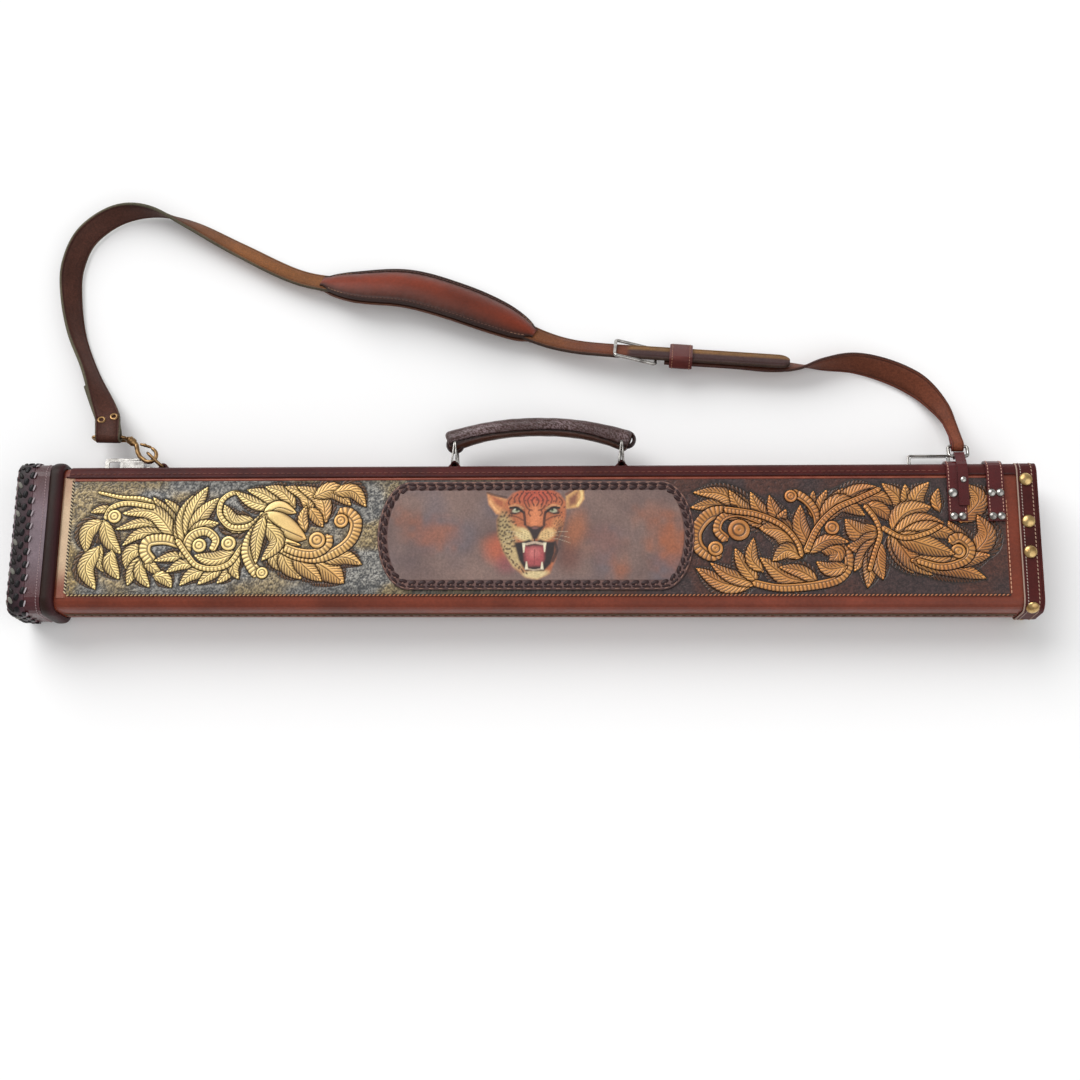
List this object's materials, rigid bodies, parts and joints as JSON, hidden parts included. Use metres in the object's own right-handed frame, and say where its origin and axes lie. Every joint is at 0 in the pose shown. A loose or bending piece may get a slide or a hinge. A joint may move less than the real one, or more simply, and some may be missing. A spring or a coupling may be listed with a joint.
{
  "type": "cue case",
  "caption": "Hard leather cue case with a slip-over cap, rolled carrying handle, accessory zip and padded shoulder strap on a snap hook.",
  "frame": {"origin": "centre of the flat back, on the face of the back pocket that the case lies on", "axes": "+X from the cap to the closed end, +Y towards the handle side, +Z out of the decorated front"},
  "size_m": [0.86, 0.3912, 0.0591],
  "materials": {
    "mahogany_leather": "smooth waxed mahogany-brown leather",
    "burgundy_leather": "dark burgundy leather with stitched edges",
    "tooled_leather": "carved and painted leather, gold on grey to ochre on dark brown",
    "printed_leather": "picture panel on leather, matt",
    "strap_leather": "brown strap leather, matt flesh side and dark burnished edges",
    "grip_leather": "glossy dark brown grained leather",
    "black_leather": "black leather, rolled",
    "lining": "dark flocked lining over foam",
    "wood": "plain wood",
    "fibre_board": "stiff fibre board",
    "zip_tape": "woven tape",
    "brass": "worn brass",
    "antique_brass": "antique brass",
    "nickel": "nickel plated"
  },
  "bodies": {
    "case": {"leather_cover": "mahogany_leather", "shell_core": "fibre_board", "cue_insert": "lining", "mouth_plate": "burgundy_leather", "end_plug": "wood", "front_panel": "tooled_leather", "medallion": "printed_leather", "top_gusset": "burgundy_leather", "back_pocket": "mahogany_leather", "end_band": "burgundy_leather", "end_face": "burgundy_leather", "brass_nail_1": "brass", "brass_nail_2": "brass", "brass_nail_3": "brass", "brass_nail_4": "brass", "brass_nail_5": "brass", "brass_nail_6": "brass", "rivet_tab_1": "burgundy_leather", "rivet_tab_2": "burgundy_leather", "tab_rivet_1": "nickel", "tab_rivet_2": "nickel", "tab_rivet_3": "nickel", "tab_rivet_4": "nickel", "strap_anchor": "strap_leather", "anchor_rivet": "nickel", "strap_ring": "nickel", "handle_tab_left": "burgundy_leather", "handle_tab_right": "burgundy_leather", "zip_tape": "zip_tape", "zip_teeth": "nickel", "hook_tab": "burgundy_leather", "swivel_link": "antique_brass"},
    "cap": {"cap_wall": "burgundy_leather", "cap_rim": "black_leather", "cap_end": "burgundy_leather", "cap_lining": "lining"},
    "ring_left": {"handle_ring_left": "nickel"},
    "ring_right": {"handle_ring_right": "nickel"},
    "grip": {"handle_grip": "grip_leather"},
    "slider_left": {"zip_slider_left": "nickel"},
    "slider_right": {"zip_slider_right": "nickel"},
    "pull_left": {"zip_pull_left": "nickel"},
    "pull_right": {"zip_pull_right": "nickel"},
    "d_ring": {"d_ring": "antique_brass"},
    "hook": {"snap_hook": "antique_brass"},
    "gate": {"hook_gate": "antique_brass"},
    "strap": {"strap_long": "strap_leather", "strap_short": "strap_leather", "shoulder_pad": "strap_leather", "pad_backing": "strap_leather", "strap_buckle": "nickel", "strap_eyelet_1": "brass", "strap_eyelet_2": "brass"},
    "keeper": {"strap_keeper": "burgundy_leather"}
  },
  "joints": [
    {"name": "cap_slide", "type": "slide", "parent": "case", "child": "cap", "axis": [-1, 0, 0], "range_m": [0, 0.07]},
    {"name": "handle_ring_left_tilt", "type": "hinge", "parent": "case", "child": "ring_left", "pos_m": [-0.0575, 0.0676, 0.028], "axis": [0, 0, 1], "range_deg": [-50, 50]},
    {"name": "handle_grip_tilt", "type": "hinge", "parent": "ring_left", "child": "grip", "pos_m": [-0.0575, 0.0882, 0.028], "axis": [0, 0, 1], "range_deg": [-50, 50]},
    {"name": "handle_ring_right_tilt", "type": "hinge", "parent": "case", "child": "ring_right", "pos_m": [0.0855, 0.0676, 0.028], "axis": [0, 0, 1], "range_deg": [-50, 50]},
    {"name": "zip_slider_left_slide", "type": "slide", "parent": "case", "child": "slider_left", "axis": [1, 0, 0], "range_m": [0, 0.28]},
    {"name": "zip_slider_right_slide", "type": "slide", "parent": "case", "child": "slider_right", "axis": [-1, 0, 0], "range_m": [0, 0.28]},
    {"name": "zip_pull_left_lift", "type": "hinge", "parent": "slider_left", "child": "pull_left", "pos_m": [-0.335, 0.072, 0.0069], "axis": [0, 1, 0], "range_deg": [0, 12]},
    {"name": "zip_pull_right_lift", "type": "hinge", "parent": "slider_right", "child": "pull_right", "pos_m": [0.368, 0.072, 0.0069], "axis": [0, 1, 0], "range_deg": [0, 12]},
    {"name": "d_ring_turn", "type": "hinge", "parent": "case", "child": "d_ring", "pos_m": [-0.312, 0.0676, 0.024], "axis": [0, 0, 1], "range_deg": [-5, 5]},
    {"name": "snap_hook_swivel", "type": "hinge", "parent": "case", "child": "hook", "pos_m": [-0.34744, 0.09723, 0.01964], "axis": [0.7893, -0.614, 0], "range_deg": [-20, 20]},
    {"name": "hook_gate_open", "type": "hinge", "parent": "hook", "child": "gate", "pos_m": [-0.33652, 0.09254, 0.01964], "axis": [0, 0, -1], "range_deg": [0, 28], "stiffness_Nm_per_rad": 0.02},
    {"name": "strap_swing", "type": "hinge", "parent": "case", "child": "strap", "pos_m": [-0.3645, 0.098, 0.024], "axis": [0.9994, -0.0243, 0.0232], "range_deg": [0, 110]},
    {"name": "keeper_slide", "type": "slide", "parent": "strap", "child": "keeper", "axis": [0.997, -0.0775, 0], "range_m": [-0.005, 0.03]}
  ],
  "couplings": [
    {"joint": "handle_ring_right_tilt", "follows": "handle_ring_left_tilt", "ratio": 1},
    {"joint": "handle_grip_tilt", "follows": "handle_ring_left_tilt", "ratio": -1}
  ]
}
